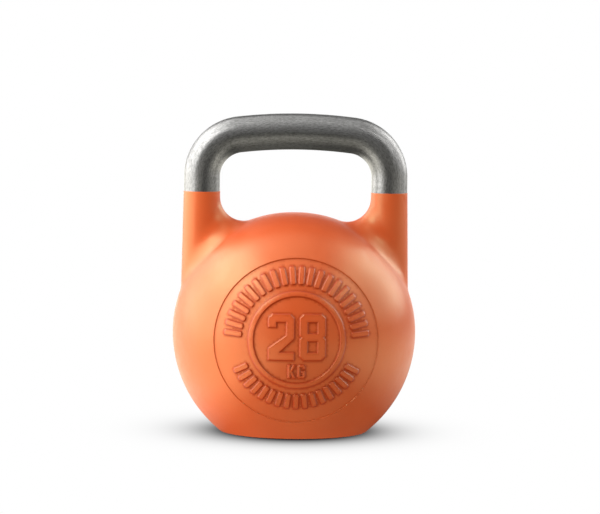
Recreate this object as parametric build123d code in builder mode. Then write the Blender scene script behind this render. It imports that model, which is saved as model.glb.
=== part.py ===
"""Ballasted steel kettlebell, 28 kg, with a bent bar handle pinned into two horns.

Millimetres. +Z is up, the foot stands on z = 0 and the ball's axis is the Z axis.
The numbered front faces -Y.
"""
import os
from math import asin, atan2, cos, degrees, radians, sin, sqrt

from build123d import *

os.makedirs("parts", exist_ok=True)

# Outside
total_height = 280.0
ball_radius = 107.0
ball_centre_z = 87.7
upper_arc_radius = 105.1
lower_arc_radius = 112.0
foot_edge_round = 1.2

# Handle bar and horns
bar_radius = 15.9
leg_x = 82.5
bend_radius = 37.0
arch_radius = 410.0
paint_line_z = 211.0
horn_top_radius = 16.15
horn_draft = 1.0
horn_blend = 20.8

# Spigots and cross pins that hold the handle
spigot_radius = 12.0
spigot_clearance = 0.05
spigot_bottom_z = 151.0
socket_bottom_z = 150.0
pin_radius = 4.0
pin_clearance = 0.02
pin_z = 180.0
pin_half_length = 15.0

# Cavity, top boss and base opening
cavity_radius = 84.8
boss_radius = 20.0
boss_bottom_z = 161.0
stud_radius = 8.0
stud_hole_top_z = 184.0
opening_radius = 46.0
cavity_floor_z = 22.0
ledge_z = 8.5

# Ballast stack, from the top down
disc_count = 8
disc_radius = 44.5
disc_thickness = 15.95
disc_bore_radius = 8.3
pad_radius = 32.0
pad_thickness = 3.0
shim_count = 3
shim_thickness = 1.0
washer_radius = 25.0
washer_thickness = 3.0
spring_washer_radius = 13.0
spring_washer_thickness = 3.5
nut_across_flats = 24.0
nut_height = 8.0
stud_bottom_z = 10.0

# Base closure
plate_radius = 55.8
plate_pocket_radius = 56.0
plate_bottom_z = 1.0
plate_top_z = 7.0
screw_circle_radius = 51.0
screw_count = 6
screw_radius = 2.5
screw_head_radius = 4.6
screw_end_z = 18.0

# Relief on the front and back
relief_z = 89.5
recess_z = 87.3
recess_radius = 70.8
recess_depth = 1.0
raise_height = 1.5
ring_outer_radius = 41.7
ring_inner_radius = 37.3
digit_width = 22.2
digit_height = 39.5
digit_stroke = 6.9
digit_corner = 3.4
digit_gap = 4.6
digit_bottom = -17.0
unit_height = 11.6
unit_width = 6.6
unit_gap = 1.6
unit_bottom = -32.6
block_inner_radius = 47.3
block_outer_radius = 62.3
lower_block_outer_radius = 60.3
block_width = 4.6

# Heights down the stack
stack_top_z = boss_bottom_z - pad_thickness
stack_bottom_z = stack_top_z - disc_count * disc_thickness
shim_bottom_z = stack_bottom_z - shim_count * shim_thickness
washer_bottom_z = shim_bottom_z - washer_thickness
spring_bottom_z = washer_bottom_z - spring_washer_thickness
nut_bottom_z = spring_bottom_z - nut_height

leg_points = [(-leg_x, 0), (leg_x, 0)]


def finish(builder, label):
    """Name a finished sub-part and write its STEP file."""
    builder.part.label = label
    export_step(builder.part, f"parts/{label}.step")


def ball(inset, mode):
    """Solid ball, its surface moved in by inset: slightly flat on top and fuller below."""
    upper = upper_arc_radius - inset
    upper_centre_r = ball_radius - upper_arc_radius
    lower = lower_arc_radius - inset
    lower_centre_r = ball_radius - lower_arc_radius
    foot_r = lower_centre_r + sqrt(lower**2 - ball_centre_z**2)
    foot_angle = degrees(atan2(-ball_centre_z, foot_r - lower_centre_r))
    with BuildSketch(Plane.XZ) as profile:
        with BuildLine():
            Line((0, 0), (foot_r, 0))
            CenterArc((lower_centre_r, ball_centre_z), lower, foot_angle, -foot_angle)
            CenterArc((upper_centre_r, ball_centre_z), upper, 0, 90)
            Polyline((upper_centre_r, ball_centre_z + upper), (0, ball_centre_z + upper), (0, 0))
        make_face()
    revolve(profile.sketch, axis=Axis.Z, mode=mode)


def digit_two(left, bottom):
    """Block numeral 2, its lower left corner at (left, bottom)."""
    w, h, s, c = digit_width, digit_height, digit_stroke, digit_corner
    outline = [
        (0, 0), (w, 0), (w, s), (s + 2.8, s), (w, h / 2 - 1.0), (w, h - c), (w - c, h), (c, h),
        (0, h - c), (0, h - s - 4.5), (s, h - s - 4.5), (s, h - s), (w - s, h - s),
        (w - s, h / 2 + 1.8), (0, s + 3.4),
    ]
    Polygon(*[(left + x, bottom + y) for x, y in outline], align=None)


def digit_eight(left, bottom):
    """Block numeral 8 with a nipped waist and two counters."""
    w, h, s, c = digit_width, digit_height, digit_stroke, digit_corner
    nip = 1.7
    outline = [
        (c, 0), (w - c, 0), (w, c), (w, h / 2 - nip), (w - nip, h / 2), (w, h / 2 + nip),
        (w, h - c), (w - c, h), (c, h), (0, h - c), (0, h / 2 + nip), (nip, h / 2),
        (0, h / 2 - nip), (0, c),
    ]
    Polygon(*[(left + x, bottom + y) for x, y in outline], align=None)
    counter_height = (h - 3 * s) / 2
    with Locations(
        (left + w / 2, bottom + s + counter_height / 2),
        (left + w / 2, bottom + h - s - counter_height / 2),
    ):
        Rectangle(w - 2 * s, counter_height, mode=Mode.SUBTRACT)


def unit_letters(left, bottom):
    """Small block letters for the unit of weight."""
    w, h, s, c = unit_width, unit_height, 2.1, 1.3
    first = [
        (0, 0), (s, 0), (s, 4.5), (4.2, 0), (w, 0), (3.8, 6.0), (6.5, h), (4.1, h), (s, 7.5),
        (s, h), (0, h),
    ]
    second = [
        (c, 0), (w - c, 0), (w, c), (w, 6.3), (3.5, 6.3), (3.5, 4.4), (w - s, 4.4), (w - s, s),
        (s, s), (s, h - s), (w - s, h - s), (w - s, 8.3), (w, 8.3), (w, h - c), (w - c, h),
        (c, h), (0, h - c), (0, c),
    ]
    Polygon(*[(left + x, bottom + y) for x, y in first], align=None)
    Polygon(*[(left + w + unit_gap + x, bottom + y) for x, y in second], align=None)


def block_band(first_angle, last_angle, count, outer_radius):
    """Row of plain raised blocks standing on a circle around the ring."""
    step = (last_angle - first_angle) / (count - 1)
    middle = (block_inner_radius + outer_radius) / 2
    for index in range(count):
        angle = radians(first_angle + index * step)
        centre = (middle * cos(angle), relief_z + middle * sin(angle))
        with Locations(Location((*centre, 0), (0, 0, degrees(angle)))):
            RectangleRounded(outer_radius - block_inner_radius, block_width, 1.6)


# Tool that sinks the round recess, kept clear of the recess floor
with BuildPart() as recess_tool:
    with BuildSketch(Plane.XZ.offset(60)):
        with Locations((0, recess_z)):
            Circle(recess_radius)
    extrude(amount=60)
    ball(recess_depth, Mode.SUBTRACT)

# Raised ring, numerals, letters and blocks for one side
with BuildPart() as relief:
    with BuildSketch(Plane.XZ.offset(60)):
        with Locations((0, relief_z)):
            Circle(ring_outer_radius)
            Circle(ring_inner_radius, mode=Mode.SUBTRACT)
        digit_two(-digit_width - digit_gap / 2, relief_z + digit_bottom)
        digit_eight(digit_gap / 2, relief_z + digit_bottom)
        unit_letters(-unit_width - unit_gap / 2, relief_z + unit_bottom)
        block_band(5, 175, 22, block_outer_radius)
        block_band(208, 332, 17, lower_block_outer_radius)
    extrude(amount=60)
    ball(recess_depth - raise_height, Mode.INTERSECT)
    ball(recess_depth + 2.0, Mode.SUBTRACT)

# Body: ball, foot and two horns in one hollow casting
with BuildPart() as body_shell:
    ball(0, Mode.ADD)
    fillet(body_shell.edges().sort_by(Axis.Z)[0], foot_edge_round)
    horn_height = paint_line_z - ball_centre_z
    horn_root_radius = horn_top_radius + horn_height * sin(radians(horn_draft))
    with Locations(*[(x, 0, ball_centre_z + horn_height / 2) for x, _ in leg_points]):
        Cone(horn_root_radius, horn_top_radius, horn_height)
    horn_roots = [
        edge for edge in body_shell.edges()
        if 120 < edge.center().Z < 200 and abs(edge.center().X) > 40
    ]
    fillet(horn_roots, horn_blend)
    add(recess_tool.part, mode=Mode.SUBTRACT)
    add(recess_tool.part.rotate(Axis.Z, 180), mode=Mode.SUBTRACT)
    add(relief.part)
    add(relief.part.rotate(Axis.Z, 180))
    # Handle sockets and the closed bores of the cross pins
    with BuildSketch(Plane.XY.offset(paint_line_z)):
        with Locations(*leg_points):
            Circle(spigot_radius + spigot_clearance)
    extrude(amount=socket_bottom_z - paint_line_z, mode=Mode.SUBTRACT)
    with BuildSketch(Plane.XZ.offset(-pin_half_length)):
        with Locations(*[(x, pin_z) for x, _ in leg_points]):
            Circle(pin_radius + pin_clearance)
    extrude(amount=2 * pin_half_length, mode=Mode.SUBTRACT)
    # Cavity with its boss, then the opening and the plate pocket in the foot
    with BuildSketch(Plane.XZ):
        with BuildLine():
            shoulder_z = ball_centre_z + sqrt(cavity_radius**2 - boss_radius**2)
            floor_r = sqrt(cavity_radius**2 - (ball_centre_z - cavity_floor_z) ** 2)
            floor_angle = degrees(atan2(cavity_floor_z - ball_centre_z, floor_r))
            shoulder_angle = degrees(atan2(shoulder_z - ball_centre_z, boss_radius))
            Polyline(
                (floor_r, cavity_floor_z), (opening_radius, cavity_floor_z),
                (opening_radius, ledge_z), (plate_pocket_radius, ledge_z),
                (plate_pocket_radius, 0), (0, 0), (0, boss_bottom_z),
                (boss_radius, boss_bottom_z), (boss_radius, shoulder_z),
            )
            CenterArc(
                (0, ball_centre_z), cavity_radius, floor_angle, shoulder_angle - floor_angle
            )
        make_face()
    revolve(axis=Axis.Z, mode=Mode.SUBTRACT)
    # Tapped holes for the stud and the base screws
    with BuildSketch(Plane.XY.offset(boss_bottom_z)):
        Circle(stud_radius)
    extrude(amount=stud_hole_top_z - boss_bottom_z, mode=Mode.SUBTRACT)
    with BuildSketch(Plane.XY.offset(ledge_z)):
        with PolarLocations(screw_circle_radius, screw_count):
            Circle(screw_radius)
    extrude(amount=screw_end_z + 1.0 - ledge_z, mode=Mode.SUBTRACT)
finish(body_shell, "body_shell")

# Handle: one bent bar with turned down ends
with BuildPart() as handle:
    crown_z = total_height - bar_radius
    arch_centre_z = crown_z - arch_radius
    bend_x = leg_x - bend_radius
    lean = degrees(asin(bend_x / (arch_radius - bend_radius)))
    bend_z = arch_centre_z + (arch_radius - bend_radius) * cos(radians(lean))
    with BuildLine(Plane.XZ) as bar_path:
        Line((leg_x, paint_line_z), (leg_x, bend_z))
        CenterArc((bend_x, bend_z), bend_radius, 0, 90 - lean)
        CenterArc((0, arch_centre_z), arch_radius, 90 - lean, 2 * lean)
        CenterArc((-bend_x, bend_z), bend_radius, 90 + lean, 90 - lean)
        Line((-leg_x, bend_z), (-leg_x, paint_line_z))
    with BuildSketch(Plane.XY.offset(paint_line_z)):
        with Locations((leg_x, 0)):
            Circle(bar_radius)
    sweep(path=bar_path.wires()[0])
    with BuildSketch(Plane.XY.offset(paint_line_z)):
        with Locations(*leg_points):
            Circle(spigot_radius)
    extrude(amount=spigot_bottom_z - paint_line_z)
    chamfer(handle.edges().group_by(Axis.Z)[0], 1.0)
    with BuildSketch(Plane.XZ.offset(-bar_radius)):
        with Locations(*[(x, pin_z) for x, _ in leg_points]):
            Circle(pin_radius + pin_clearance)
    extrude(amount=2 * bar_radius, mode=Mode.SUBTRACT)
finish(handle, "handle")

# Cross pins through the horns and spigots
with BuildPart() as handle_pins:
    with BuildSketch(Plane.XZ.offset(-pin_half_length + 0.2)):
        with Locations(*[(x, pin_z) for x, _ in leg_points]):
            Circle(pin_radius)
    extrude(amount=2 * (pin_half_length - 0.2))
    chamfer(handle_pins.edges().filter_by(GeomType.CIRCLE), 0.6)
finish(handle_pins, "handle_pins")

# Stud that carries the ballast, screwed into the boss
with BuildPart() as ballast_stud:
    with BuildSketch(Plane.XY.offset(stud_bottom_z)):
        Circle(stud_radius - 0.05)
    extrude(amount=stud_hole_top_z - 1.0 - stud_bottom_z)
    chamfer(ballast_stud.edges().filter_by(GeomType.CIRCLE), 1.2)
finish(ballast_stud, "ballast_stud")


def plain_ring(bottom_z, height, outer_radius, bore_radius, edge_break):
    """Flat ring on the stud with lightly broken outer edges."""
    with BuildSketch(Plane.XY.offset(bottom_z)) as face:
        Circle(outer_radius)
        Circle(bore_radius, mode=Mode.SUBTRACT)
    solid = extrude(face.sketch, amount=height)
    if edge_break:
        outer_edges = [
            edge for edge in solid.edges().filter_by(GeomType.CIRCLE)
            if abs(edge.radius - outer_radius) < 0.01
        ]
        chamfer(outer_edges, edge_break)


# Rubber pad between the boss and the top disc
with BuildPart() as top_pad:
    plain_ring(stack_top_z, pad_thickness, pad_radius, disc_bore_radius, 0)
finish(top_pad, "top_pad")

# Ballast discs, numbered from the top
for number in range(1, disc_count + 1):
    with BuildPart() as ballast_disc:
        disc_bottom_z = stack_top_z - number * disc_thickness
        plain_ring(disc_bottom_z, disc_thickness, disc_radius, disc_bore_radius, 0.8)
    finish(ballast_disc, f"ballast_disc_{number}")

# Thin shims that trim the finished weight, kept just apart
with BuildPart() as trim_shims:
    for number in range(1, shim_count + 1):
        shim_z = stack_bottom_z - number * shim_thickness
        plain_ring(shim_z, shim_thickness - 0.02, disc_radius, disc_bore_radius, 0)
finish(trim_shims, "trim_shims")

# Heavy washer under the stack
with BuildPart() as clamp_washer:
    plain_ring(washer_bottom_z, washer_thickness, washer_radius, disc_bore_radius, 0.5)
finish(clamp_washer, "clamp_washer")

# Split spring washer
with BuildPart() as spring_washer:
    plain_ring(
        spring_bottom_z, spring_washer_thickness, spring_washer_radius, disc_bore_radius, 0
    )
    with BuildSketch(Plane.YZ):
        with Locations((0, spring_bottom_z + spring_washer_thickness / 2)):
            Rectangle(1.6, 3 * spring_washer_thickness, rotation=20)
    extrude(amount=spring_washer_radius + 1, mode=Mode.SUBTRACT)
finish(spring_washer, "spring_washer")

# Hexagon nut that clamps the stack
with BuildPart() as clamp_nut:
    with BuildSketch(Plane.XY.offset(nut_bottom_z)):
        RegularPolygon(nut_across_flats / 2, 6, major_radius=False)
    extrude(amount=nut_height)
    with BuildSketch(Plane.XZ):
        with BuildLine():
            corner_r = nut_across_flats / 2 / cos(radians(30))
            crown_r = nut_across_flats / 2 - 0.3
            drop = (corner_r - crown_r) * 0.5
            Polyline(
                (0, nut_bottom_z), (crown_r, nut_bottom_z), (corner_r + 1, nut_bottom_z + drop + 0.5),
                (corner_r + 1, nut_bottom_z + nut_height - drop - 0.5),
                (crown_r, nut_bottom_z + nut_height), (0, nut_bottom_z + nut_height), close=True,
            )
        make_face()
    revolve(axis=Axis.Z, mode=Mode.INTERSECT)
    with BuildSketch(Plane.XY.offset(nut_bottom_z)):
        Circle(stud_radius)
    extrude(amount=nut_height, mode=Mode.SUBTRACT)
finish(clamp_nut, "clamp_nut")

# Flat gasket between the plate and the ledge
with BuildPart() as base_gasket:
    with BuildSketch(Plane.XY.offset(plate_top_z)):
        Circle(plate_radius - 0.3)
        Circle(opening_radius + 0.5, mode=Mode.SUBTRACT)
        with PolarLocations(screw_circle_radius, screw_count):
            Circle(screw_radius + 0.3, mode=Mode.SUBTRACT)
    extrude(amount=ledge_z - plate_top_z)
finish(base_gasket, "base_gasket")

# Plate that closes the foot, with a turned ring groove and countersunk holes
with BuildPart() as base_plate:
    with BuildSketch(Plane.XY.offset(plate_bottom_z)):
        Circle(plate_radius)
    extrude(amount=plate_top_z - plate_bottom_z)
    chamfer(base_plate.edges().group_by(Axis.Z)[0], 0.8)
    with BuildSketch(Plane.XY.offset(plate_bottom_z)):
        Circle(40.0)
        Circle(38.4, mode=Mode.SUBTRACT)
    extrude(amount=0.7, mode=Mode.SUBTRACT)
    with Locations(Plane.XY.offset(plate_bottom_z).rotated((180, 0, 0))):
        with PolarLocations(screw_circle_radius, screw_count):
            CounterSinkHole(
                screw_radius + 0.2, screw_head_radius + 0.5, depth=20, counter_sink_angle=90
            )
finish(base_plate, "base_plate")

# Countersunk socket screws
with BuildPart() as base_screws:
    with BuildSketch(Plane.XY.offset(plate_bottom_z + 0.3)):
        with PolarLocations(screw_circle_radius, screw_count):
            Circle(screw_radius - 0.05)
    extrude(amount=screw_end_z - plate_bottom_z - 0.3)
    with PolarLocations(screw_circle_radius, screw_count):
        with Locations((0, 0, plate_bottom_z + 0.3 + (screw_head_radius - screw_radius) / 2)):
            Cone(screw_head_radius, screw_radius - 0.05, screw_head_radius - screw_radius)
    with BuildSketch(Plane.XY.offset(plate_bottom_z + 0.3)):
        with PolarLocations(screw_circle_radius, screw_count):
            RegularPolygon(1.5, 6, major_radius=False)
    extrude(amount=2.2, mode=Mode.SUBTRACT)
finish(base_screws, "base_screws")
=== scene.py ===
"""Looks of the 28 kg kettlebell: body casting, bent bar, base parts, studio and camera."""

import math

import bmesh
import bpy
import numpy as np
from mathutils import Matrix, Vector
from mathutils.geometry import delaunay_2d_cdt


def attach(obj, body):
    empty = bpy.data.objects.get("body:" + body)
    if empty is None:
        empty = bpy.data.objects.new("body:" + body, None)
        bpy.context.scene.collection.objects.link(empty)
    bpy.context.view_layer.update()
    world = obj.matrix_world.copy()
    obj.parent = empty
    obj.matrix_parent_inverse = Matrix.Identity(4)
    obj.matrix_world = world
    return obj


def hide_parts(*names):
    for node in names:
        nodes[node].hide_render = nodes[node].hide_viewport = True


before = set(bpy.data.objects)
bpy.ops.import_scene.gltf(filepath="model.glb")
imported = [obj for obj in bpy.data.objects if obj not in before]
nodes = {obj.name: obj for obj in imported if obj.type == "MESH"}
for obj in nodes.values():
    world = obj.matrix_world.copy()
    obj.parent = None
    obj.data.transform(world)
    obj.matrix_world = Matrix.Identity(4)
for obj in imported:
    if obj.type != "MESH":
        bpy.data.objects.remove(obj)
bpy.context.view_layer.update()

# ---------------------------------------------------------------- dimensions, mm
TOTAL_HEIGHT = 280.0
BALL_R = 107.0
BALL_Z = 87.7
UPPER_R = 105.1
LOWER_R = 112.0
FOOT_ROUND = 1.2
BAR_R = 15.9
LEG_X = 82.5
BEND_R = 37.0
ARCH_R = 410.0
PAINT_Z = 211.0
HORN_R = 16.15
HORN_SLOPE = math.sin(math.radians(1.0))
BLEND_R = 20.8
SPIGOT_R = 12.0
SOCKET_R = 12.05
SPIGOT_Z = 151.0
SOCKET_Z = 150.0
CAVITY_R = 84.8
CAVITY_FLOOR_Z = 22.0
OPENING_R = 46.0
POCKET_R = 56.0
LEDGE_Z = 8.5
BOSS_R = 20.0
BOSS_Z = 161.0
STUD_R = 8.0
STUD_TOP_Z = 184.0
RELIEF_Z = 89.5
RECESS_Z = 87.3
RECESS_R = 70.8
RECESS = 1.0
RAISE = 1.5
RING_R = 39.5
RING_HALF = 2.2
BAND_INNER = 47.3
BLOCK_HALF = 2.3
BLOCK_ROUND = 1.6
# First and last angle, number of blocks and outer radius of the upper and the lower band
BANDS = ((5, 175, 22, 62.3), (208, 332, 17, 60.3))
# Half width of the sloped edge of a raised shape and of the recess
EDGE = 0.65
RIM_EDGE = 0.5

# ---------------------------------------------------------------- mesh settings
CELL = 2.6
GRID_REACH = 112.0
EDGE_STEP = 0.62
EVEN_STEP = 2.2
AROUND_BAR = 96
CREASE = math.radians(32)
METRE = 0.001

UPPER_C = BALL_R - UPPER_R
LOWER_C = BALL_R - LOWER_R


# ---------------------------------------------------------------- body as a distance field
def ball_field(r, z, inset=0.0):
    upper = np.hypot(r - UPPER_C, z - BALL_Z) - (UPPER_R - inset)
    lower = np.hypot(r - LOWER_C, z - BALL_Z) - (LOWER_R - inset)
    return np.where(z >= BALL_Z, upper, lower)


def horn_radius(z):
    return HORN_R + (PAINT_Z - z) * HORN_SLOPE


def spine(samples=360):
    """Centre line of the ball that rolls in the corner between horn and ball, for the +X horn."""
    turn = np.linspace(-math.pi, math.pi, samples, endpoint=False)
    z = np.full(samples, 180.0)
    for _ in range(6):
        reach = horn_radius(z) + BLEND_R * math.sqrt(1 + HORN_SLOPE**2)
        x = LEG_X + reach * np.cos(turn)
        y = reach * np.sin(turn)
        r = np.hypot(x, y)
        z = BALL_Z + np.sqrt((UPPER_R + BLEND_R) ** 2 - (r - UPPER_C) ** 2)
    return np.stack([x, y, z], 1)


SPINE = spine()


def body_field(p):
    """Signed distance to the outside of the casting, without relief, open at horn tops and foot."""
    x = np.abs(p[:, 0])
    y = p[:, 1]
    z = p[:, 2]
    ball = ball_field(np.hypot(x, y), z)
    flat = np.hypot(x - LEG_X, y)
    horn = (flat - horn_radius(z)) / math.sqrt(1 + HORN_SLOPE**2)
    horn = np.where(z < BALL_Z, 50.0, horn)
    field = np.minimum(ball, horn)
    near = np.where((np.maximum(ball, horn) < 2 * BLEND_R) & (np.minimum(ball, horn) > -6))[0]
    if len(near) == 0:
        return field
    q = np.stack([x[near], y[near], z[near]], 1)
    count = len(SPINE)
    turn = np.arctan2(q[:, 1], q[:, 0] - LEG_X)
    middle = np.round((turn + math.pi) / (2 * math.pi) * count).astype(int)
    best = np.full(len(q), 1e9)
    pick = np.zeros(len(q), int)
    for shift in range(-40, 41):
        index = (middle + shift) % count
        gap = ((q - SPINE[index]) ** 2).sum(1)
        closer = gap < best
        best[closer] = gap[closer]
        pick[closer] = index[closer]
    centre = SPINE[pick]
    tangent = SPINE[(pick + 1) % count] - SPINE[(pick - 1) % count]
    tangent /= np.linalg.norm(tangent, axis=1)[:, None]
    centre = centre + ((q - centre) * tangent).sum(1)[:, None] * tangent
    r = np.hypot(centre[:, 0], centre[:, 1])
    out_r = r - UPPER_C
    length = np.hypot(out_r, centre[:, 2] - BALL_Z)
    ball_x, ball_y = (centre[:, k] / r * out_r / length for k in (0, 1))
    normal_ball = np.stack([ball_x, ball_y, (centre[:, 2] - BALL_Z) / length], 1)
    flat = np.hypot(centre[:, 0] - LEG_X, centre[:, 1])
    normal_horn = np.stack(
        [(centre[:, 0] - LEG_X) / flat, centre[:, 1] / flat, np.full(len(q), HORN_SLOPE)], 1
    ) / math.sqrt(1 + HORN_SLOPE**2)
    way = q - centre
    reach = np.linalg.norm(way, axis=1)
    # way = -(a * ball normal + b * horn normal); both positive means inside the rolling ball's wedge
    mixed = (normal_ball * normal_horn).sum(1)
    on_ball = (way * normal_ball).sum(1)
    on_horn = (way * normal_horn).sum(1)
    scale = np.maximum(1 - mixed**2, 1e-6)
    a = -(on_ball - mixed * on_horn) / scale
    b = -(on_horn - mixed * on_ball) / scale
    wedge = (a > 0) & (b > 0)
    field[near[wedge]] = (BLEND_R - reach)[wedge]
    return field


def gradient(p, step=0.02):
    out = np.empty_like(p)
    for axis in range(3):
        shift = np.zeros(3)
        shift[axis] = step
        out[:, axis] = body_field(p + shift) - body_field(p - shift)
    length = np.linalg.norm(out, axis=1)
    return out / np.maximum(length, 1e-9)[:, None]


def surface_net():
    """Quad mesh of the casting's smooth outside."""
    xs = np.arange(-GRID_REACH, GRID_REACH + 0.1, CELL)
    zs = np.arange(-4.0, PAINT_Z + 7.0, CELL)
    gx, gy, gz = np.meshgrid(xs, xs, zs, indexing="ij")
    points = np.stack([gx.ravel(), gy.ravel(), gz.ravel()], 1)
    value = body_field(points).reshape(gx.shape)
    inside = value < 0
    corner = [(0, 0, 0), (1, 0, 0), (0, 1, 0), (1, 1, 0), (0, 0, 1), (1, 0, 1), (0, 1, 1), (1, 1, 1)]
    edges = [(0, 1), (2, 3), (4, 5), (6, 7), (0, 2), (1, 3), (4, 6), (5, 7), (0, 4), (1, 5), (2, 6), (3, 7)]
    nx, ny, nz = (n - 1 for n in gx.shape)

    def at(array, c):
        return array[c[0] : c[0] + nx, c[1] : c[1] + ny, c[2] : c[2] + nz]

    total = np.zeros((nx, ny, nz, 3))
    hits = np.zeros((nx, ny, nz))
    for i, j in edges:
        a, b = at(value, corner[i]), at(value, corner[j])
        cross = (a < 0) != (b < 0)
        t = np.where(cross, a / np.where(cross, a - b, 1.0), 0)
        ca, cb = np.array(corner[i], float), np.array(corner[j], float)
        total += np.where(cross[..., None], ca + t[..., None] * (cb - ca), 0)
        hits += cross
    cells = hits > 0
    index = np.full((nx, ny, nz), -1)
    index[cells] = np.arange(cells.sum())
    base = np.stack(np.where(cells), 1)
    verts = (base + total[cells] / hits[cells][:, None]) * CELL + np.array([xs[0], xs[0], zs[0]])
    quads = []
    for axis in range(3):
        u, v = (axis + 1) % 3, (axis + 2) % 3
        lead = [slice(1, -1)] * 3
        lead[axis] = slice(0, -1)
        follow = list(lead)
        follow[axis] = slice(1, None)
        start, end = inside[tuple(lead)], inside[tuple(follow)]
        where = np.stack(np.where(start != end), 1)
        offset = np.array([1, 1, 1])
        offset[axis] = 0
        at_cell = where + offset
        step_u = np.zeros(3, int)
        step_u[u] = 1
        step_v = np.zeros(3, int)
        step_v[v] = 1
        ring = [at_cell - step_u - step_v, at_cell - step_v, at_cell, at_cell - step_u]
        quad = np.stack([index[tuple(r.T)] for r in ring], 1)
        flip = ~start[tuple(where.T)]
        quad[flip] = quad[flip][:, ::-1]
        quads.append(quad)
    quads = np.vstack(quads)
    quads = quads[(quads >= 0).all(1)]
    for _ in range(3):
        verts -= body_field(verts)[:, None] * gradient(verts)
    pairs = np.vstack([quads[:, [0, 1]], quads[:, [1, 2]], quads[:, [2, 3]], quads[:, [3, 0]]])
    for _ in range(4):
        total = np.zeros_like(verts)
        count = np.zeros(len(verts))
        for a, b in ((0, 1), (1, 0)):
            np.add.at(total, pairs[:, a], verts[pairs[:, b]])
            np.add.at(count, pairs[:, a], 1)
        verts = 0.4 * verts + 0.6 * total / np.maximum(count, 1)[:, None]
        verts -= body_field(verts)[:, None] * gradient(verts)
    verts -= body_field(verts)[:, None] * gradient(verts)
    return verts, quads


# ---------------------------------------------------------------- relief outlines
def polygon_field(p, outline):
    """Signed distance from points to a closed polygon, negative inside."""
    outline = np.array(outline, float)
    best = np.full(len(p), 1e9)
    inside = np.zeros(len(p), bool)
    for a, b in zip(outline, np.roll(outline, -1, 0)):
        edge = b - a
        way = p - a
        t = np.clip((way @ edge) / (edge @ edge), 0, 1)
        best = np.minimum(best, ((way - t[:, None] * edge) ** 2).sum(1))
        between = (a[1] > p[:, 1]) != (b[1] > p[:, 1])
        side = a[0] + (p[:, 1] - a[1]) * edge[0] / (edge[1] if edge[1] else 1e-12)
        inside ^= between & (p[:, 0] < side)
    return np.where(inside, -1, 1) * np.sqrt(best)


def rectangle(x0, y0, x1, y1):
    return [(x0, y0), (x1, y0), (x1, y1), (x0, y1)]


def numeral_two(left, bottom):
    w, h, s, c = 22.2, 39.5, 6.9, 3.4
    outline = [
        (0, 0), (w, 0), (w, s), (s + 2.8, s), (w, h / 2 - 1.0), (w, h - c), (w - c, h), (c, h),
        (0, h - c), (0, h - s - 4.5), (s, h - s - 4.5), (s, h - s), (w - s, h - s),
        (w - s, h / 2 + 1.8), (0, s + 3.4),
    ]
    return [(left + x, bottom + y) for x, y in outline], []


def numeral_eight(left, bottom):
    w, h, s, c, nip = 22.2, 39.5, 6.9, 3.4, 1.7
    outline = [
        (c, 0), (w - c, 0), (w, c), (w, h / 2 - nip), (w - nip, h / 2), (w, h / 2 + nip),
        (w, h - c), (w - c, h), (c, h), (0, h - c), (0, h / 2 + nip), (nip, h / 2),
        (0, h / 2 - nip), (0, c),
    ]
    counter = (h - 3 * s) / 2
    lower = rectangle(left + s, bottom + s, left + w - s, bottom + s + counter)
    upper = rectangle(left + s, bottom + h - s - counter, left + w - s, bottom + h - s)
    return [(left + x, bottom + y) for x, y in outline], [lower, upper]


def unit_letters(left, bottom):
    w, h, s, c, gap = 6.6, 11.6, 2.1, 1.3, 1.6
    first = [
        (0, 0), (s, 0), (s, 4.5), (4.2, 0), (w, 0), (3.8, 6.0), (6.5, h), (4.1, h), (s, 7.5),
        (s, h), (0, h),
    ]
    second = [
        (c, 0), (w - c, 0), (w, c), (w, 6.3), (3.5, 6.3), (3.5, 4.4), (w - s, 4.4), (w - s, s),
        (s, s), (s, h - s), (w - s, h - s), (w - s, 8.3), (w, 8.3), (w, h - c), (w - c, h),
        (c, h), (0, h - c), (0, c),
    ]
    shift = left + w + gap
    return [[(left + x, bottom + y) for x, y in first], [(shift + x, bottom + y) for x, y in second]]


def raised_field(p):
    """Signed distance to the raised shapes; p is across and up from the relief's centre."""
    r = np.hypot(p[:, 0], p[:, 1])
    field = np.abs(r - RING_R) - RING_HALF
    close = np.where(r < RING_R - 2.5)[0]
    for outline, holes in (numeral_two(-24.5, -17.0), numeral_eight(2.3, -17.0)):
        shape = polygon_field(p[close], outline)
        for hole in holes:
            shape = np.maximum(shape, -polygon_field(p[close], hole))
        field[close] = np.minimum(field[close], shape)
    for outline in unit_letters(-7.4, -32.6):
        field[close] = np.minimum(field[close], polygon_field(p[close], outline))
    turn = np.arctan2(p[:, 1], p[:, 0])
    for first, last, count, outer in BANDS:
        for k in range(count):
            angle = math.radians(first + (last - first) * k / (count - 1))
            along = r * np.cos(turn - angle) - (BAND_INNER + outer) / 2
            across = r * np.sin(turn - angle)
            dx = np.abs(along) - ((outer - BAND_INNER) / 2 - BLOCK_ROUND)
            dy = np.abs(across) - (BLOCK_HALF - BLOCK_ROUND)
            outside = np.hypot(np.maximum(dx, 0), np.maximum(dy, 0))
            field = np.minimum(field, outside + np.minimum(np.maximum(dx, dy), 0) - BLOCK_ROUND)
    return field


def ease(d):
    t = np.clip((EDGE - d) / (2 * EDGE), 0, 1)
    return t * t * (3 - 2 * t)


def recess_field(p):
    """Signed distance to the recess's edge; p is across and up from the relief's centre."""
    return np.hypot(p[:, 0], p[:, 1] + RELIEF_Z - RECESS_Z) - RECESS_R


def hollow(d):
    """Depth share of the recess: a quick drop at its edge, then a wide fillet down to the floor."""
    drop = np.clip((RIM_EDGE - d) / (2 * RIM_EDGE), 0, 1)
    foot = np.clip((RIM_EDGE - d) / 4.0, 0, 1)
    return 0.8 * drop * drop * (3 - 2 * drop) + 0.2 * (1 - (1 - foot) ** 2)


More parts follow.
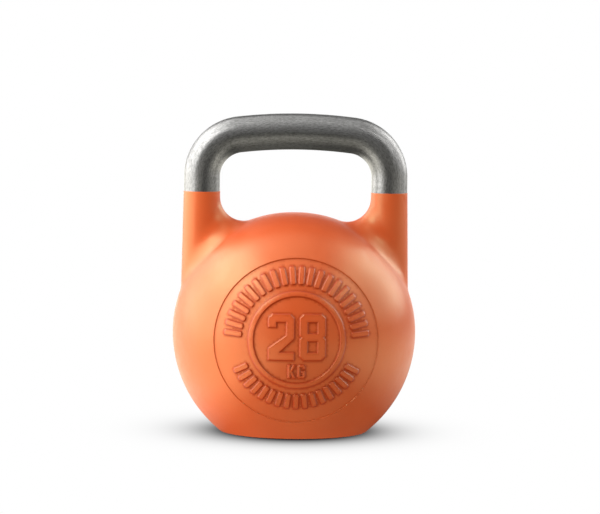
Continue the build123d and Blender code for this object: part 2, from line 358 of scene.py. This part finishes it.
def front_depth(p):
    """How far the relief surface stands in front of the axis; p is x and z."""
    local = p - np.array([0, RELIEF_Z])
    inset = RECESS * hollow(recess_field(local)) - RAISE * ease(raised_field(local))
    x, z = p[:, 0], p[:, 1]
    upper = UPPER_C + np.sqrt(np.maximum((UPPER_R - inset) ** 2 - (z - BALL_Z) ** 2, 0))
    lower = LOWER_C + np.sqrt(np.maximum((LOWER_R - inset) ** 2 - (z - BALL_Z) ** 2, 0))
    r = np.where(z >= BALL_Z, upper, lower)
    return np.sqrt(np.maximum(r**2 - x**2, 0))


def front_normal(p, step=0.03):
    dx = (front_depth(p + [step, 0]) - front_depth(p - [step, 0])) / (2 * step)
    dz = (front_depth(p + [0, step]) - front_depth(p - [0, step])) / (2 * step)
    normal = np.stack([-dx, -np.ones(len(p)), -dz], 1)
    return normal / np.linalg.norm(normal, axis=1)[:, None]


def relief_points():
    """Points in the relief: rows along every edge and an even grid between them."""
    axis = np.arange(-RECESS_R - 4.0, RECESS_R + 4.0, EDGE_STEP)
    gx, gy = np.meshgrid(axis, axis)
    grid = np.stack([gx.ravel(), gy.ravel()], 1)
    grid = grid[recess_field(grid) < 1.2]
    chosen = []
    for field, edge in ((raised_field, EDGE), (recess_field, RIM_EDGE)):
        d = field(grid)
        for level in (-edge, -0.4 * edge, 0.4 * edge, edge):
            near = grid[np.abs(d - level) < 0.55 * EDGE_STEP]
            for _ in range(2):
                e = 0.01
                gx = (field(near + [e, 0]) - field(near - [e, 0])) / (2 * e)
                gy = (field(near + [0, e]) - field(near - [0, e])) / (2 * e)
                size = np.maximum(gx**2 + gy**2, 1e-6)
                move = (level - field(near)) / size
                near = near + np.stack([gx * move, gy * move], 1)
            near = near[np.abs(field(near) - level) < 0.05]
            _, keep = np.unique(np.round(near / 0.42).astype(int), axis=0, return_index=True)
            chosen.append(near[np.sort(keep)])
    axis = np.arange(-RECESS_R - 6, RECESS_R + 6, EVEN_STEP)
    gx, gy = np.meshgrid(axis, axis * math.sqrt(3) / 2 * 1.16)
    gx = gx + np.where(np.arange(gx.shape[0]) % 2, EVEN_STEP / 2, 0)[:, None]
    even = np.stack([gx.ravel(), gy.ravel()], 1)
    away = (np.abs(raised_field(even)) > 1.1) & (np.abs(recess_field(even)) > 1.1)
    chosen.append(even[away & (recess_field(even) < 2.4)])
    points = np.vstack(chosen)
    _, keep = np.unique(np.round(points / 0.16).astype(int), axis=0, return_index=True)
    return points[np.sort(keep)]


# ---------------------------------------------------------------- body mesh
def cavity_profile():
    """Radius and height from the foot's edge round inside to the top of the stud hole."""
    corner = LOWER_C + math.sqrt((LOWER_R - FOOT_ROUND) ** 2 - (BALL_Z - FOOT_ROUND) ** 2)
    start = math.atan2(FOOT_ROUND - BALL_Z, corner - LOWER_C)
    profile = []
    for k in range(7):
        angle = start + (-math.pi / 2 - start) * k / 6
        out, up = FOOT_ROUND * math.cos(angle), FOOT_ROUND * math.sin(angle)
        profile.append((corner + out, FOOT_ROUND + up))
    floor_r = math.sqrt(CAVITY_R**2 - (BALL_Z - CAVITY_FLOOR_Z) ** 2)
    bevel = 0.3
    profile += [(POCKET_R + 4.0, 0), (POCKET_R + bevel, 0), (POCKET_R, bevel), (POCKET_R, LEDGE_Z)]
    profile += [(OPENING_R + bevel, LEDGE_Z), (OPENING_R, LEDGE_Z + bevel)]
    profile += [(OPENING_R, CAVITY_FLOOR_Z), (floor_r, CAVITY_FLOOR_Z)]
    low = math.atan2(CAVITY_FLOOR_Z - BALL_Z, floor_r)
    high = math.acos(BOSS_R / CAVITY_R)
    for k in range(1, 29):
        angle = low + (high - low) * k / 28
        profile.append((CAVITY_R * math.cos(angle), BALL_Z + CAVITY_R * math.sin(angle)))
    profile += [(BOSS_R, BOSS_Z), (STUD_R, BOSS_Z), (STUD_R, STUD_TOP_Z)]
    return profile


def loop_order(edges):
    """Boundary loops as ordered lists of vertices, the same in every run."""
    left = set(edges)
    loops = []
    for edge in edges:
        if edge not in left:
            continue
        left.discard(edge)
        chain = [edge.verts[0], edge.verts[1]]
        while True:
            step = [e for e in chain[-1].link_edges if e in left]
            if not step:
                break
            left.discard(step[0])
            other = step[0].other_vert(chain[-1])
            if other is chain[0]:
                break
            chain.append(other)
        loops.append(chain)
    return loops


def lathe_on(bm, loop, axis_x, profile, cap_z):
    """Strips from a round loop through the profile's rings, closed at its axis."""
    angles = [math.atan2(v.co.y, v.co.x - axis_x) for v in loop]
    previous = loop
    for r, z in profile:
        ring = [bm.verts.new((axis_x + r * math.cos(a), r * math.sin(a), z)) for a in angles]
        for k in range(len(loop)):
            n = (k + 1) % len(loop)
            bm.faces.new((previous[k], previous[n], ring[n], ring[k]))
        previous = ring
    tip = bm.verts.new((axis_x, 0, cap_z))
    for k in range(len(loop)):
        bm.faces.new((previous[k], previous[(k + 1) % len(loop)], tip))


def relief_patch(bm, side, points):
    """Opens the smooth skin where the relief goes and fills it with the relief's own mesh."""
    reach = RECESS_R + 4.5
    cut = [
        f for f in bm.faces
        if all(v.co.y * side > 0 and math.hypot(v.co.x, v.co.z - RECESS_Z) < reach for v in f.verts)
    ]
    bmesh.ops.delete(bm, geom=cut, context="FACES")
    rim = [
        e for e in bm.edges
        if e.is_boundary and all(v.co.y * side > 20 and 5 < v.co.z < 190 for v in e.verts)
    ]
    loop = max(loop_order(rim), key=len)
    flat = np.array([(-v.co.x * side, v.co.z) for v in loop])
    inner = points[polygon_field(points + [0, RELIEF_Z], flat) < -0.9] + [0, RELIEF_Z]
    every = np.vstack([flat, inner])
    count = len(loop)
    border = [(k, (k + 1) % count) for k in range(count)]
    verts, _, faces, origin, _, _ = delaunay_2d_cdt(
        [Vector(p) for p in every], border, [], 0, 1e-5, True
    )
    where = np.array([(v.x, v.y) for v in verts])
    depth = front_depth(where)
    normal = front_normal(where)
    made = []
    fixed = {}
    for k, source in enumerate(origin):
        on_rim = [s for s in source if s < count]
        if on_rim:
            made.append(loop[on_rim[0]])
            continue
        v = bm.verts.new((-where[k, 0] * side, depth[k] * side, where[k, 1]))
        fixed[v] = (-normal[k, 0] * side, -normal[k, 1] * side, normal[k, 2])
        made.append(v)
    middle = np.array([where[list(f)].mean(0) for f in faces])
    keep = polygon_field(middle, flat) < 0
    for f, good in zip(faces, keep):
        if good and len({made[i] for i in f}) == len(f):
            try:
                bm.faces.new([made[i] for i in f])
            except ValueError:
                pass
    return fixed


def finish_mesh(bm, name, always_smooth):
    """Makes the object in metres, with creases at sharp edges that aren't always smooth."""
    for face in bm.faces:
        face.smooth = True
    for edge in bm.edges:
        if not always_smooth(edge) and edge.is_manifold and edge.calc_face_angle(0) > CREASE:
            edge.smooth = False
    bmesh.ops.scale(bm, vec=(METRE, METRE, METRE), verts=bm.verts[:])
    mesh = bpy.data.meshes.new(name)
    bm.to_mesh(mesh)
    bm.free()
    obj = bpy.data.objects.new(name, mesh)
    bpy.context.scene.collection.objects.link(obj)
    return obj


def shade_corners(mesh):
    """Stores painted shade for each point of the relief: darker round the raised shapes and along the
    recess's edge, where shadow falls.
    """
    at = np.zeros(len(mesh.vertices) * 3, np.float32)
    mesh.vertices.foreach_get("co", at)
    at = at.reshape(-1, 3) / METRE
    local = np.stack([-at[:, 0] * np.sign(at[:, 1]), at[:, 2] - RELIEF_Z], 1)
    outside = np.linalg.norm(at - [0, 0, BALL_Z], axis=1) > 96
    facing = outside & (np.abs(at[:, 1]) > 60)
    where = np.where(facing & (np.hypot(local[:, 0], local[:, 1]) < 66))[0]
    value = np.zeros(len(at), np.float32)
    # Painted shade round the foot of each raised shape, where shadow falls
    value[where] = np.exp(-(((raised_field(local[where]) - 0.2) / 0.85) ** 2))
    # Painted shade: a dark line just inside the recess's edge
    rim = np.exp(-(((recess_field(local) + 0.45) / 0.75) ** 2))
    # The painted shade fades out towards the bottom, where the recess's lower wall faces up and stays bright
    rim *= np.clip(0.28 + 0.5 * local[:, 1] / RECESS_R, 0.0, 0.6)
    value = np.where(outside, np.maximum(value, rim), 0.0).astype(np.float32)
    mesh.attributes.new("painted_corner_shade", "FLOAT", "POINT").data.foreach_set("value", value)


def build_body():
    verts, quads = surface_net()
    bm = bmesh.new()
    made = [bm.verts.new(v) for v in verts]
    for quad in quads:
        bm.faces.new([made[i] for i in quad])
    top_z = PAINT_Z - 0.25
    for height, keep_below in ((top_z, True), (FOOT_ROUND * 0.35, False)):
        normal = (0, 0, 1 if keep_below else -1)
        bmesh.ops.bisect_plane(
            bm, geom=bm.verts[:] + bm.edges[:] + bm.faces[:], plane_co=(0, 0, height), plane_no=normal,
            dist=1e-4, clear_outer=True,
        )
    bmesh.ops.dissolve_degenerate(bm, dist=0.25, edges=bm.edges[:])
    points = relief_points()
    bm.normal_update()
    smooth = {v: tuple(n) for v, n in zip(bm.verts, gradient(np.array([v.co[:] for v in bm.verts])))}
    rims = loop_order([e for e in bm.edges if e.is_boundary])
    fixed = {}
    for side in (-1, 1):
        fixed.update(relief_patch(bm, side, points))
    for loop in rims:
        z = sum(v.co.z for v in loop) / len(loop)
        x = sum(v.co.x for v in loop) / len(loop)
        if z > 150:
            sign = 1 if x > 0 else -1
            rings = [(HORN_R - 0.05, PAINT_Z - 0.1), (HORN_R - 0.2, PAINT_Z)]
            rings += [(SOCKET_R, PAINT_Z), (SOCKET_R, SOCKET_Z)]
            lathe_on(bm, loop, sign * LEG_X, rings, SOCKET_Z)
        else:
            lathe_on(bm, loop, 0.0, cavity_profile(), STUD_TOP_Z)
    for v, n in smooth.items():
        if v.is_valid:
            fixed.setdefault(v, n)
    bmesh.ops.recalc_face_normals(bm, faces=bm.faces[:])
    layer = bm.verts.layers.float_vector.new("made_normal")
    for v, n in fixed.items():
        if v.is_valid:
            v[layer] = n
    obj = finish_mesh(bm, "body_casting", lambda edge: all(v[layer].length > 0.5 for v in edge.verts))
    mesh = obj.data
    shade_corners(mesh)
    # Exact normals on the outside; the lathed inside keeps its own
    corner = np.zeros(len(mesh.loops) * 3, np.float32)
    mesh.corner_normals.foreach_get("vector", corner)
    corner = corner.reshape(-1, 3)
    stored = np.zeros(len(mesh.vertices) * 3, np.float32)
    mesh.attributes["made_normal"].data.foreach_get("vector", stored)
    stored = stored.reshape(-1, 3)
    owner = np.zeros(len(mesh.loops), np.int32)
    mesh.loops.foreach_get("vertex_index", owner)
    wanted = stored[owner]
    size = np.linalg.norm(wanted, axis=1)
    agree = (wanted * corner).sum(1) > 0.55
    use = (size > 0.5) & agree
    corner[use] = wanted[use] / size[use][:, None]
    mesh.normals_split_custom_set([tuple(n) for n in corner])
    return obj


# ---------------------------------------------------------------- handle mesh
def build_handle():
    """Bent bar on its exact arcs, with shouldered spigots; its UV map runs along and around the bar."""
    arch_z = TOTAL_HEIGHT - BAR_R - ARCH_R
    bend_x = LEG_X - BEND_R
    lean = math.asin(bend_x / (ARCH_R - BEND_R))
    bend_z = arch_z + (ARCH_R - BEND_R) * math.cos(lean)
    path = []

    def arc(cx, cz, radius, first, last, step):
        count = max(2, int(abs(last - first) * radius / step))
        for k in range(count):
            a = first + (last - first) * k / count
            path.append((cx + radius * math.cos(a), cz + radius * math.sin(a), math.cos(a), math.sin(a)))

    for k in range(8):
        path.append((LEG_X, PAINT_Z + (bend_z - PAINT_Z) * k / 8, 1.0, 0.0))
    arc(bend_x, bend_z, BEND_R, 0, math.pi / 2 - lean, 1.3)
    arc(0, arch_z, ARCH_R, math.pi / 2 - lean, math.pi / 2, 2.2)
    half = list(path)
    path.append((0, arch_z + ARCH_R, 0.0, 1.0))
    path += [(-x, z, -nx, nz) for x, z, nx, nz in reversed(half)]
    bm = bmesh.new()
    uv = bm.loops.layers.uv.new("UVMap")
    rings, travel, last = [], 0.0, None
    for x, z, nx, nz in path:
        if last:
            travel += math.hypot(x - last[0], z - last[1])
        last = (x, z)
        ring = []
        for k in range(AROUND_BAR):
            a = 2 * math.pi * k / AROUND_BAR
            out, side = BAR_R * math.cos(a), BAR_R * math.sin(a)
            ring.append(bm.verts.new((x + out * nx, side, z + out * nz)))
        rings.append((ring, travel))
    for (ring, t0), (after, t1) in zip(rings, rings[1:]):
        for k in range(AROUND_BAR):
            n = (k + 1) % AROUND_BAR
            face = bm.faces.new((ring[k], ring[n], after[n], after[k]))
            v0 = BAR_R * 2 * math.pi * k / AROUND_BAR
            v1 = BAR_R * 2 * math.pi * (k + 1) / AROUND_BAR
            for loop, pair in zip(face.loops, ((t0, v0), (t0, v1), (t1, v1), (t1, v0))):
                loop[uv].uv = (pair[0] * METRE, pair[1] * METRE)
    spigot = [(SPIGOT_R, PAINT_Z), (SPIGOT_R, SPIGOT_Z + 1), (SPIGOT_R - 1, SPIGOT_Z)]
    for ring, sign in ((rings[0][0], 1), (rings[-1][0], -1)):
        lathe_on(bm, ring, sign * LEG_X, spigot, SPIGOT_Z)
    bmesh.ops.recalc_face_normals(bm, faces=bm.faces[:])
    return finish_mesh(bm, "handle_bar", lambda edge: False)


# ---------------------------------------------------------------- materials
class Nodes:
    """Small helper for node trees."""

    def __init__(self, name):
        self.material = bpy.data.materials.new(name)
        self.material.use_nodes = True
        self.tree = self.material.node_tree
        self.shader = self.tree.nodes["Principled BSDF"]

    def add(self, kind, **settings):
        node = self.tree.nodes.new(kind)
        for key, value in settings.items():
            setattr(node, key, value)
        return node

    def link(self, source, target):
        self.tree.links.new(source, target)

    def noise(self, vector, scale, detail=3.0, rough=0.5):
        node = self.add("ShaderNodeTexNoise")
        node.inputs["Scale"].default_value = scale
        node.inputs["Detail"].default_value = detail
        node.inputs["Roughness"].default_value = rough
        self.link(vector, node.inputs["Vector"])
        return node.outputs["Fac"]

    def ramp(self, factor, low, high, out_low, out_high):
        node = self.add("ShaderNodeMapRange")
        for key, value in (("From Min", low), ("From Max", high), ("To Min", out_low), ("To Max", out_high)):
            node.inputs[key].default_value = value
        self.link(factor, node.inputs["Value"])
        return node.outputs["Result"]

    def mix(self, factor, a, b):
        node = self.add("ShaderNodeMix", data_type="RGBA")
        self.link(factor, node.inputs["Factor"])
        for value, socket in ((a, node.inputs["A"]), (b, node.inputs["B"])):
            if isinstance(value, tuple):
                socket.default_value = (*value, 1)
            else:
                self.link(value, socket)
        return node.outputs["Result"]

    def bump(self, height, strength, distance, normal=None):
        node = self.add("ShaderNodeBump")
        node.inputs["Strength"].default_value = strength
        node.inputs["Distance"].default_value = distance
        self.link(height, node.inputs["Height"])
        if normal:
            self.link(normal, node.inputs["Normal"])
        return node.outputs["Normal"]

    def place(self, scale=(1, 1, 1), source="Object"):
        coordinates = self.add("ShaderNodeTexCoord")
        mapping = self.add("ShaderNodeMapping")
        mapping.inputs["Scale"].default_value = scale
        self.link(coordinates.outputs[source], mapping.inputs["Vector"])
        return mapping.outputs["Vector"]


def powder_coat():
    n = Nodes("orange_powder_coat")
    at = n.place()
    cloud = n.noise(at, 22, 3)
    grain = n.noise(at, 1400, 2)
    peel = n.noise(at, 520, 2, 0.4)
    casting = n.noise(at, 90, 4, 0.55)
    base = n.mix(n.ramp(cloud, 0.35, 0.65, 0, 1), (0.69, 0.074, 0.0080), (0.73, 0.086, 0.0110))
    base = n.mix(n.ramp(grain, 0.42, 0.62, 0, 0.16), base, (0.58, 0.054, 0.0060))
    # Painted shade: the coat is darkened in the relief's corners, where shadow falls, and its gloss is
    # lowered there too
    corner = n.add("ShaderNodeAttribute", attribute_name="painted_corner_shade")
    base = n.mix(n.ramp(corner.outputs["Fac"], 0, 1, 0, 0.70), base, (0.33, 0.022, 0.0035))
    n.link(base, n.shader.inputs["Base Color"])
    n.link(n.ramp(casting, 0.3, 0.7, 0.36, 0.44), n.shader.inputs["Roughness"])
    first = n.bump(casting, 0.25, 0.0004)
    second = n.bump(peel, 0.30, 0.00012, first)
    n.link(n.bump(grain, 0.22, 0.00006, second), n.shader.inputs["Normal"])
    n.link(n.ramp(corner.outputs["Fac"], 0, 1, 1.0, 0.25), n.shader.inputs["Specular IOR Level"])
    n.shader.inputs["Specular Tint"].default_value = (0.74, 1.0, 0.54, 1)
    n.shader.inputs["IOR"].default_value = 1.57
    return n.material


def brushed_bar():
    n = Nodes("brushed_bar_steel")
    streak_at = n.place((60, 2600, 1), "UV")
    fine_at = n.place((170, 6500, 1), "UV")
    cloud_at = n.place((1, 1, 1), "Object")
    streak = n.noise(streak_at, 1.0, 4, 0.6)
    fine = n.noise(fine_at, 1.0, 3, 0.6)
    cloud = n.noise(cloud_at, 60, 4)
    steel = n.mix(n.ramp(streak, 0.35, 0.65, 0, 1), (0.27, 0.268, 0.262), (0.46, 0.455, 0.446))
    steel = n.mix(n.ramp(cloud, 0.45, 0.7, 0, 0.35), steel, (0.22, 0.217, 0.21))
    grain = n.noise(n.place((330, 1000, 1), "UV"), 1.0, 3, 0.7)
    steel = n.mix(n.ramp(grain, 0.40, 0.62, 0, 0.65), steel, (0.13, 0.128, 0.124))
    n.link(steel, n.shader.inputs["Base Color"])
    n.shader.inputs["Metallic"].default_value = 1.0
    n.shader.inputs["Anisotropic"].default_value = 0.55
    rough = n.add("ShaderNodeMath", operation="ADD")
    n.link(n.ramp(fine, 0.3, 0.7, 0.33, 0.41), rough.inputs[0])
    n.link(n.ramp(cloud, 0.4, 0.7, 0.0, 0.06), rough.inputs[1])
    n.link(rough.outputs[0], n.shader.inputs["Roughness"])
    tangent = n.add("ShaderNodeTangent", direction_type="UV_MAP")
    n.link(tangent.outputs[0], n.shader.inputs["Tangent"])
    first = n.bump(grain, 0.25, 0.00015, n.bump(streak, 0.22, 0.00010))
    n.link(n.bump(fine, 0.30, 0.00005, first), n.shader.inputs["Normal"])
    return n.material


def plain_metal(name, low, high, rough, scale, metallic=1.0):
    n = Nodes(name)
    at = n.place()
    cloud = n.noise(at, scale, 5, 0.6)
    fine = n.noise(at, scale * 14, 3)
    n.link(n.mix(n.ramp(cloud, 0.35, 0.65, 0, 1), low, high), n.shader.inputs["Base Color"])
    n.shader.inputs["Metallic"].default_value = metallic
    n.link(n.ramp(fine, 0.3, 0.7, rough - 0.06, rough + 0.08), n.shader.inputs["Roughness"])
    n.link(n.bump(fine, 0.2, 0.00006), n.shader.inputs["Normal"])
    return n.material


def rubber(name):
    n = Nodes(name)
    at = n.place()
    grain = n.noise(at, 1800, 3)
    cloud = n.noise(at, 40, 3)
    tone = n.mix(n.ramp(cloud, 0.3, 0.7, 0, 1), (0.018, 0.018, 0.019), (0.034, 0.033, 0.032))
    n.link(tone, n.shader.inputs["Base Color"])
    n.link(n.ramp(grain, 0.3, 0.7, 0.62, 0.8), n.shader.inputs["Roughness"])
    n.link(n.bump(grain, 0.35, 0.00008), n.shader.inputs["Normal"])
    return n.material


def paint(obj, material):
    obj.data.materials.clear()
    obj.data.materials.append(material)


body = build_body()
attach(body, "root")
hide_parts("body_shell")
paint(body, powder_coat())
body.visible_glossy = False

handle = build_handle()
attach(handle, "root")
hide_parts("handle")
paint(handle, brushed_bar())

ballast = plain_metal("oiled_ballast_steel", (0.16, 0.155, 0.15), (0.26, 0.25, 0.24), 0.5, 30)
bright = plain_metal("zinc_steel", (0.50, 0.51, 0.53), (0.60, 0.61, 0.62), 0.32, 120)
black = plain_metal("black_oxide_steel", (0.035, 0.034, 0.036), (0.06, 0.058, 0.06), 0.42, 150)
plate = plain_metal("coated_plate", (0.022, 0.022, 0.024), (0.034, 0.034, 0.036), 0.46, 60, 0.0)
seal = rubber("black_rubber")
for number in range(1, 9):
    paint(nodes[f"ballast_disc_{number}"], ballast)
for name in ("handle_pins", "ballast_stud", "trim_shims", "clamp_washer", "clamp_nut"):
    paint(nodes[name], bright)
for name in ("spring_washer", "base_screws"):
    paint(nodes[name], black)
for name in ("top_pad", "base_gasket"):
    paint(nodes[name], seal)
paint(nodes["base_plate"], plate)


# ---------------------------------------------------------------- studio and camera
# Light of a softbox with a glow of 1, in watts per square metre and steradian
FULL_GLOW = 2.82
# Tone of the floor and the backdrop far to the left and right
SIDE_GREY = 0.70
# Camera fitted to the photograph, in degrees, metres and the photograph's pixels
YAW, RISE, ROLL = 1.467, 5.364, 0.672
DISTANCE, FOCAL = 3.05, 3453.0
TARGET_AT = (293.98, 331.45)
PHOTO_MIDDLE = (300, 257)
PHOTO_WIDTH = 600
SENSOR = 36


def softbox(name, turn, rise, distance, size, glow):
    """Rectangular light that faces the bell; turn is degrees from the front towards the left."""
    a, e = math.radians(turn), math.radians(rise)
    aim = Vector((0, 0, 0.1))
    lamp = bpy.data.lights.new(name, "AREA")
    lamp.shape = "RECTANGLE"
    lamp.size, lamp.size_y = size
    lamp.energy = glow * FULL_GLOW * math.pi * size[0] * size[1]
    obj = bpy.data.objects.new(name, lamp)
    way = Vector((-math.sin(a) * math.cos(e), -math.cos(a) * math.cos(e), math.sin(e)))
    obj.location = aim + way * distance
    obj.rotation_euler = (-way).to_track_quat("-Z", "Y").to_euler()
    obj.visible_camera = False
    bpy.context.scene.collection.objects.link(obj)


def floor():
    """Wide white floor whose soft shadow is painted round the foot; to the bell the floor glows as a light
    of its own.
    """
    bm = bmesh.new()
    bmesh.ops.create_grid(bm, x_segments=2, y_segments=2, size=40)
    mesh = bpy.data.meshes.new("studio_floor")
    bm.to_mesh(mesh)
    bm.free()
    obj = bpy.data.objects.new("studio_floor", mesh)
    bpy.context.scene.collection.objects.link(obj)
    n = Nodes("pale_floor")
    ray = n.add("ShaderNodeLightPath")
    # Brightness seen by the camera: dark at the foot, white by 0.16 m from the middle
    away = n.add("ShaderNodeVectorMath", operation="LENGTH")
    n.link(n.place((1, 0.86, 1)), away.inputs[0])
    depth = n.ramp(away.outputs["Value"], 0.056, 0.091, 0.0, 1.0)
    n.tree.nodes[-1].clamp = False
    steps = (("MAXIMUM", 0.0), ("POWER", 1.42), ("MULTIPLY", -1.0), ("EXPONENT", 0.0))
    for operation, value in steps:
        step = n.add("ShaderNodeMath", operation=operation)
        n.link(depth, step.inputs[0])
        step.inputs[1].default_value = value
        depth = step.outputs[0]
    clear = n.add("ShaderNodeMath", operation="SUBTRACT")
    clear.inputs[0].default_value = 1.0
    n.link(depth, clear.inputs[1])
    # Far to the left and right it is greyer, so the bell's bright edge shows in a side view
    at = n.add("ShaderNodeSeparateXYZ")
    n.link(n.place(), at.inputs[0])
    across = n.add("ShaderNodeMath", operation="ABSOLUTE")
    n.link(at.outputs["X"], across.inputs[0])
    along = n.add("ShaderNodeMath", operation="ABSOLUTE")
    n.link(at.outputs["Y"], along.inputs[0])
    aside = n.add("ShaderNodeMath", operation="MULTIPLY_ADD")
    n.link(along.outputs[0], aside.inputs[0])
    aside.inputs[1].default_value = -0.2
    n.link(across.outputs[0], aside.inputs[2])
    toned = n.add("ShaderNodeMath", operation="MULTIPLY")
    n.link(clear.outputs[0], toned.inputs[0])
    n.link(n.ramp(aside.outputs[0], 1.8, 9.0, 1.0, SIDE_GREY), toned.inputs[1])
    seen = n.add("ShaderNodeEmission")
    n.link(toned.outputs[0], seen.inputs["Strength"])
    # Glow the floor gives off as a light for the bell: bright to the sides for its gloss, an even fill for
    # its paint
    sides = n.add("ShaderNodeMath", operation="ADD")
    n.link(n.ramp(at.outputs["X"], -0.06, -0.14, 0.05, 1.9), sides.inputs[0])
    right = n.add("ShaderNodeMath", operation="MULTIPLY")
    n.link(n.ramp(at.outputs["X"], 0.09, 0.22, 0.0, 1.3), right.inputs[0])
    n.link(n.ramp(at.outputs["X"], 1.1, 1.5, 1.0, 0.0), right.inputs[1])
    n.link(right.outputs[0], sides.inputs[1])
    near = n.add("ShaderNodeMath", operation="MULTIPLY")
    n.link(sides.outputs[0], near.inputs[0])
    n.link(n.ramp(at.outputs["Y"], -0.70, -0.30, 0.05, 1.0), near.inputs[1])
    even = n.ramp(at.outputs["X"], 0.08, -0.14, 0.70, 1.45)
    pick = n.add("ShaderNodeMix", data_type="FLOAT")
    n.link(ray.outputs["Is Diffuse Ray"], pick.inputs[0])
    n.link(near.outputs[0], pick.inputs[2])
    n.link(even, pick.inputs[3])
    floor_glow = n.add("ShaderNodeEmission")
    floor_glow.inputs["Color"].default_value = (1.0, 0.975, 0.87, 1)
    n.link(pick.outputs[0], floor_glow.inputs["Strength"])
    surface = n.add("ShaderNodeMixShader")
    n.link(ray.outputs["Is Camera Ray"], surface.inputs[0])
    n.link(floor_glow.outputs[0], surface.inputs[1])
    n.link(seen.outputs[0], surface.inputs[2])
    # The underside can be seen through the floor
    side = n.add("ShaderNodeNewGeometry")
    sided = n.add("ShaderNodeMixShader")
    n.link(side.outputs["Backfacing"], sided.inputs[0])
    n.link(surface.outputs[0], sided.inputs[1])
    n.link(n.add("ShaderNodeBsdfTransparent").outputs[0], sided.inputs[2])
    n.link(sided.outputs[0], n.tree.nodes["Material Output"].inputs["Surface"])
    paint(obj, n.material)


def backdrop():
    """White behind the bell for the camera, and a weaker even fill for everything else."""
    world = bpy.data.worlds.new("studio")
    world.use_nodes = True
    tree = world.node_tree
    fill = tree.nodes["Background"]
    fill.inputs["Color"].default_value = (1, 1, 1, 1)
    fill.inputs["Strength"].default_value = 0.20
    white = tree.nodes.new("ShaderNodeBackground")
    white.inputs["Color"].default_value = (1, 1, 1, 1)
    # The same grey as the floor's to the left and right
    way = tree.nodes.new("ShaderNodeTexCoord")
    split = tree.nodes.new("ShaderNodeSeparateXYZ")
    across = tree.nodes.new("ShaderNodeMath")
    across.operation = "ABSOLUTE"
    tone = tree.nodes.new("ShaderNodeMapRange")
    for key, value in (("From Min", 0.2), ("From Max", 0.5), ("To Min", 1.0), ("To Max", SIDE_GREY)):
        tone.inputs[key].default_value = value
    tree.links.new(way.outputs["Generated"], split.inputs[0])
    tree.links.new(split.outputs["X"], across.inputs[0])
    tree.links.new(across.outputs[0], tone.inputs["Value"])
    tree.links.new(tone.outputs["Result"], white.inputs["Strength"])
    ray = tree.nodes.new("ShaderNodeLightPath")
    blend = tree.nodes.new("ShaderNodeMixShader")
    tree.links.new(ray.outputs["Is Camera Ray"], blend.inputs[0])
    tree.links.new(fill.outputs[0], blend.inputs[1])
    tree.links.new(white.outputs[0], blend.inputs[2])
    tree.links.new(blend.outputs[0], tree.nodes["World Output"].inputs["Surface"])
    bpy.context.scene.world = world


def camera():
    """Camera at the photograph's viewing angle, with the bell where the photograph has it."""
    yaw, rise, roll = (math.radians(v) for v in (YAW, RISE, ROLL))
    target = Vector((0, 0, 0.0875))
    flat = math.cos(rise)
    away = Vector((-math.sin(yaw) * flat, -math.cos(yaw) * flat, math.sin(rise)))
    ahead = -away
    right = ahead.cross(Vector((0, 0, 1))).normalized()
    up = right.cross(ahead)
    level, tilt = math.cos(roll), math.sin(roll)
    right, up = right * level + up * tilt, up * level - right * tilt
    aside = PHOTO_MIDDLE[0] - TARGET_AT[0]
    above = TARGET_AT[1] - PHOTO_MIDDLE[1]
    ahead = (ahead * FOCAL + right * aside + up * above).normalized()
    right = (right - ahead * right.dot(ahead)).normalized()
    up = right.cross(ahead)
    lens = bpy.data.cameras.new("camera")
    lens.sensor_width = SENSOR
    lens.lens = FOCAL * SENSOR / PHOTO_WIDTH
    lens.clip_end = 50
    obj = bpy.data.objects.new("camera", lens)
    turn = Matrix((right, up, -ahead)).transposed().to_4x4()
    obj.matrix_world = Matrix.Translation(target + away * DISTANCE) @ turn
    bpy.context.scene.collection.objects.link(obj)
    bpy.context.scene.camera = obj


floor()
camera()
backdrop()
softbox("left_low", 84, 8, 1.7, (2.6, 1.1), 1.0)
softbox("left_back", 128, 22, 1.7, (0.9, 1.2), 0.75)
softbox("left_high", 84, 43, 1.6, (1.5, 0.95), 1.35)
softbox("left_high_back", 118, 50, 1.7, (1.5, 1.1), 0.60)
softbox("left_key", 48, 42, 1.6, (0.45, 0.45), 2.1)
softbox("right_low", 262, 17, 1.8, (2.0, 0.6), 0.40)
softbox("right_back", 236, 26, 1.8, (0.9, 1.2), 1.15)
softbox("right_high", 278, 42, 1.7, (1.2, 0.8), 0.42)
softbox("right_key", 306, 40, 1.7, (0.45, 0.45), 1.3)
softbox("right_high_back", 245, 50, 1.8, (1.0, 0.8), 0.5)
softbox("overhead", 150, 76, 2.0, (1.4, 1.2), 0.28)
softbox("overhead_front", 0, 74, 2.0, (1.2, 0.7), 0.35)
softbox("back_low", 180, 8, 2.0, (2.2, 0.9), 0.45)
bpy.context.scene.view_settings.view_transform = "Standard"
